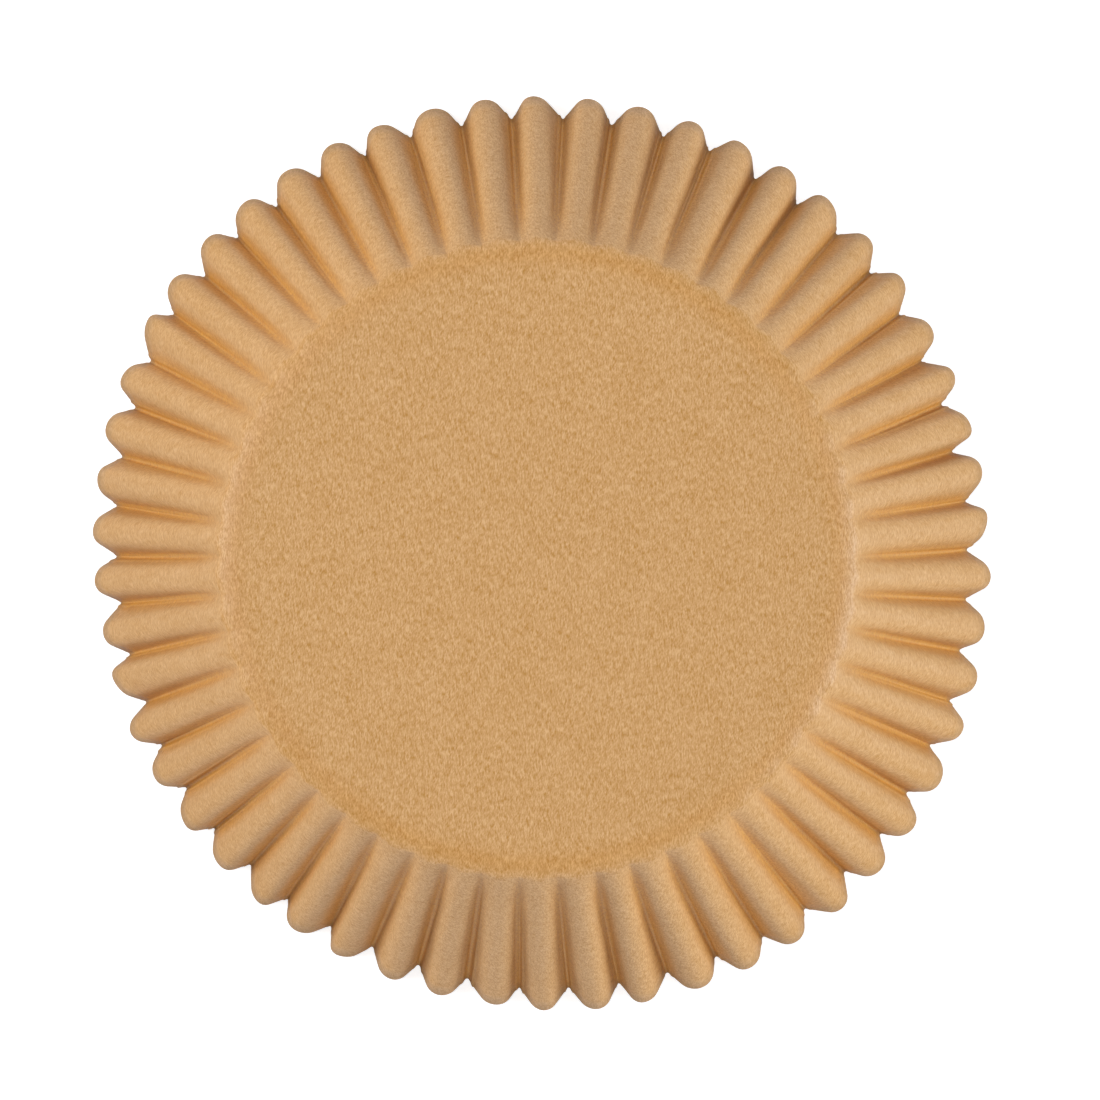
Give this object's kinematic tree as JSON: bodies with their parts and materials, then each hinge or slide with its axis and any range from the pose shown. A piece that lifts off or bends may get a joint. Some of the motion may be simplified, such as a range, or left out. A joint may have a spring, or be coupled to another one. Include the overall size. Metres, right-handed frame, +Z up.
{
  "type": "paper cupcake liner",
  "caption": "Round fluted cup of brown kraft paper for baking a cupcake, with a flat base and a flared, pleated wall, standing upside down on its rim.",
  "frame": {"origin": "centre of the open rim, on the surface the upside-down cup stands on", "axes": "+Z up along the cup's axis, out of the flat base on top; one inner fold points along +X"},
  "size_m": [0.0734, 0.0748, 0.0306],
  "materials": {
    "kraft_paper": "matte unbleached kraft paper with fine fibres"
  },
  "bodies": {
    "root": {"paper_liner": "kraft_paper"}
  },
  "joints": []
}
